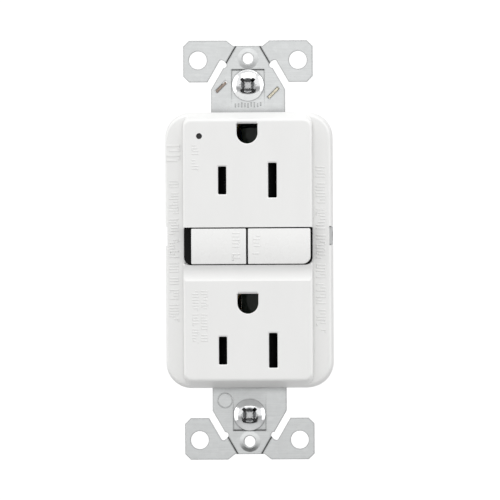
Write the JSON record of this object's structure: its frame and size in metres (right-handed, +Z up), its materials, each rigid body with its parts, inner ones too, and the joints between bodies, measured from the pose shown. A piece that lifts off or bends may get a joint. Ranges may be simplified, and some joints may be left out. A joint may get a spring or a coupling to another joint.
{
  "type": "gfci outlet",
  "caption": "Wall receptacle with ground-fault protection: two three-hole sockets, test and reset buttons, steel strap with break-off ears, side wire terminals.",
  "frame": {"origin": "centre of the four ear holes, in the rear face of the strap, which bears on the wall box", "axes": "+Z up along the strap, -Y towards the person facing the outlet, +X to that person's right"},
  "size_m": [0.042, 0.0355, 0.1058],
  "materials": {
    "white_moulding": "moulded white thermoplastic, fine satin gloss",
    "white_button": "moulded white thermoplastic, smooth",
    "grey_housing": "glass-filled grey thermoplastic, matte",
    "black_nylon": "black moulded nylon",
    "galvanised_steel": "galvanised strip steel, faint rolling grain",
    "plated_steel": "bright nickel or zinc plate",
    "spring_steel": "drawn spring wire",
    "brass_alloy": "rolled brass and bronze",
    "green_plated_steel": "green dyed zinc plate",
    "fibre": "grey vulcanised fibre",
    "enamelled_copper": "enamelled copper wire",
    "ferrite": "taped ferrite ring",
    "board_laminate": "green solder-masked laminate",
    "component_body": "epoxy-dipped component bodies",
    "clear_acrylic": "clear moulded acrylic"
  },
  "bodies": {
    "receptacle": {"button_guide": "black_nylon", "circuit_board": "board_laminate", "control_chip": "black_nylon", "corner_screws": "plated_steel", "diodes": "component_body", "film_capacitor": "component_body", "front_cover": "white_moulding", "ground_rivets": "plated_steel", "grounding_clip": "brass_alloy", "hot_contacts": "brass_alloy", "inner_frame": "black_nylon", "light_pipe": "clear_acrylic", "line_hot_plate": "brass_alloy", "line_neutral_plate": "plated_steel", "line_wires": "enamelled_copper", "load_hot_plate": "brass_alloy", "load_neutral_plate": "plated_steel", "lower_ground_contact": "brass_alloy", "lower_shutter_frame": "black_nylon", "mounting_strap": "galvanised_steel", "neutral_contacts": "brass_alloy", "plunger_spring": "spring_steel", "rear_housing": "grey_housing", "reset_spring": "spring_steel", "screw_retainers": "fibre", "sensing_cores": "ferrite", "shutter_springs": "spring_steel", "solenoid_bobbin": "black_nylon", "solenoid_coil": "enamelled_copper", "solenoid_frame": "plated_steel", "status_lamp": "clear_acrylic", "test_blade": "brass_alloy", "test_spring": "spring_steel", "transformer_case": "black_nylon", "upper_ground_contact": "brass_alloy", "upper_shutter_frame": "black_nylon", "varistor": "component_body"},
    "test_button": {"test_button": "white_button"},
    "reset_button": {"reset_button": "white_button", "reset_pin": "plated_steel"},
    "contact_lifter": {"contact_lifter": "black_nylon", "moving_contacts": "brass_alloy"},
    "latch_plate": {"latch_plate": "plated_steel"},
    "solenoid_plunger": {"solenoid_plunger": "plated_steel"},
    "upper_box_screw": {"upper_box_screw": "plated_steel"},
    "lower_box_screw": {"lower_box_screw": "plated_steel"},
    "ground_clamp": {"ground_clamp": "green_plated_steel"},
    "ground_screw": {"ground_screw": "green_plated_steel"},
    "upper_hot_shutter": {"upper_hot_shutter": "black_nylon"},
    "upper_neutral_shutter": {"upper_neutral_shutter": "black_nylon"},
    "lower_hot_shutter": {"lower_hot_shutter": "black_nylon"},
    "lower_neutral_shutter": {"lower_neutral_shutter": "black_nylon"},
    "line_hot_clamp": {"line_hot_clamp": "plated_steel"},
    "line_hot_screw": {"line_hot_screw": "brass_alloy"},
    "line_neutral_clamp": {"line_neutral_clamp": "plated_steel"},
    "line_neutral_screw": {"line_neutral_screw": "plated_steel"},
    "load_hot_clamp": {"load_hot_clamp": "plated_steel"},
    "load_hot_screw": {"load_hot_screw": "brass_alloy"},
    "load_neutral_clamp": {"load_neutral_clamp": "plated_steel"},
    "load_neutral_screw": {"load_neutral_screw": "plated_steel"}
  },
  "joints": [
    {"name": "test_press", "type": "slide", "parent": "receptacle", "child": "test_button", "axis": [0, 1, 0], "range_m": [0, 0.0015], "stiffness_N_per_m": 800, "springref_m": -0.001, "deforming": ["test_spring"]},
    {"name": "reset_press", "type": "slide", "parent": "receptacle", "child": "reset_button", "axis": [0, 1, 0], "range_m": [0, 0.0016], "stiffness_N_per_m": 800, "springref_m": -0.001, "deforming": ["reset_spring"]},
    {"name": "contact_lift", "type": "slide", "parent": "receptacle", "child": "contact_lifter", "axis": [0, 1, 0], "range_m": [0, 0.0016]},
    {"name": "plunger_slide", "type": "slide", "parent": "receptacle", "child": "solenoid_plunger", "axis": [0, 0, 1], "range_m": [0, 0.0019], "stiffness_N_per_m": 100, "springref_m": -0.0005, "deforming": ["plunger_spring"]},
    {"name": "latch_slide", "type": "slide", "parent": "contact_lifter", "child": "latch_plate", "axis": [0, 0, 1], "range_m": [0, 0.0019]},
    {"name": "upper_hot_shutter_slide", "type": "slide", "parent": "receptacle", "child": "upper_hot_shutter", "axis": [1, 0, 0], "range_m": [0, 0.0029], "stiffness_N_per_m": 150, "springref_m": -0.001, "deforming": ["shutter_springs"]},
    {"name": "upper_neutral_shutter_slide", "type": "slide", "parent": "receptacle", "child": "upper_neutral_shutter", "axis": [1, 0, 0], "range_m": [-0.0029, 0]},
    {"name": "lower_hot_shutter_slide", "type": "slide", "parent": "receptacle", "child": "lower_hot_shutter", "axis": [1, 0, 0], "range_m": [0, 0.0029], "stiffness_N_per_m": 150, "springref_m": -0.001, "deforming": ["shutter_springs"]},
    {"name": "lower_neutral_shutter_slide", "type": "slide", "parent": "receptacle", "child": "lower_neutral_shutter", "axis": [1, 0, 0], "range_m": [-0.0029, 0]},
    {"name": "upper_box_screw_turn", "type": "hinge", "parent": "receptacle", "child": "upper_box_screw", "pos_m": [0, 0, 0.04167], "axis": [0, -1, 0], "continuous": true},
    {"name": "lower_box_screw_turn", "type": "hinge", "parent": "receptacle", "child": "lower_box_screw", "pos_m": [0, 0, -0.04167], "axis": [0, -1, 0], "continuous": true},
    {"name": "line_hot_clamp_slide", "type": "slide", "parent": "receptacle", "child": "line_hot_clamp", "axis": [-1, 0, 0], "range_m": [0, 0.0024]},
    {"name": "line_hot_screw_turn", "type": "hinge", "parent": "line_hot_clamp", "child": "line_hot_screw", "pos_m": [-0.01725, 0.0166, 0.019], "axis": [-1, 0, 0], "range_deg": [0, 1089]},
    {"name": "line_neutral_clamp_slide", "type": "slide", "parent": "receptacle", "child": "line_neutral_clamp", "axis": [1, 0, 0], "range_m": [0, 0.0024]},
    {"name": "line_neutral_screw_turn", "type": "hinge", "parent": "line_neutral_clamp", "child": "line_neutral_screw", "pos_m": [0.01725, 0.0166, 0.019], "axis": [1, 0, 0], "range_deg": [0, 1089]},
    {"name": "load_hot_clamp_slide", "type": "slide", "parent": "receptacle", "child": "load_hot_clamp", "axis": [-1, 0, 0], "range_m": [0, 0.0024]},
    {"name": "load_hot_screw_turn", "type": "hinge", "parent": "load_hot_clamp", "child": "load_hot_screw", "pos_m": [-0.01725, 0.0166, -0.019], "axis": [-1, 0, 0], "range_deg": [0, 1089]},
    {"name": "load_neutral_clamp_slide", "type": "slide", "parent": "receptacle", "child": "load_neutral_clamp", "axis": [1, 0, 0], "range_m": [0, 0.0024]},
    {"name": "load_neutral_screw_turn", "type": "hinge", "parent": "load_neutral_clamp", "child": "load_neutral_screw", "pos_m": [0.01725, 0.0166, -0.019], "axis": [1, 0, 0], "range_deg": [0, 1089]},
    {"name": "ground_clamp_slide", "type": "slide", "parent": "receptacle", "child": "ground_clamp", "axis": [0, 0, -1], "range_m": [0, 0.0024]},
    {"name": "ground_screw_turn", "type": "hinge", "parent": "ground_clamp", "child": "ground_screw", "pos_m": [0, 0.0086, -0.0352], "axis": [0, 0, -1], "range_deg": [0, 1089]}
  ],
  "couplings": [
    {"joint": "contact_lift", "follows": "reset_press", "ratio": 1},
    {"joint": "latch_slide", "follows": "plunger_slide", "ratio": 1},
    {"joint": "upper_neutral_shutter_slide", "follows": "upper_hot_shutter_slide", "ratio": -1},
    {"joint": "lower_neutral_shutter_slide", "follows": "lower_hot_shutter_slide", "ratio": -1},
    {"joint": "line_hot_screw_turn", "follows": "line_hot_clamp_slide", "rad_per_m": 7915.8},
    {"joint": "line_neutral_screw_turn", "follows": "line_neutral_clamp_slide", "rad_per_m": 7915.8},
    {"joint": "load_hot_screw_turn", "follows": "load_hot_clamp_slide", "rad_per_m": 7915.8},
    {"joint": "load_neutral_screw_turn", "follows": "load_neutral_clamp_slide", "rad_per_m": 7915.8},
    {"joint": "ground_screw_turn", "follows": "ground_clamp_slide", "rad_per_m": 7915.8}
  ]
}
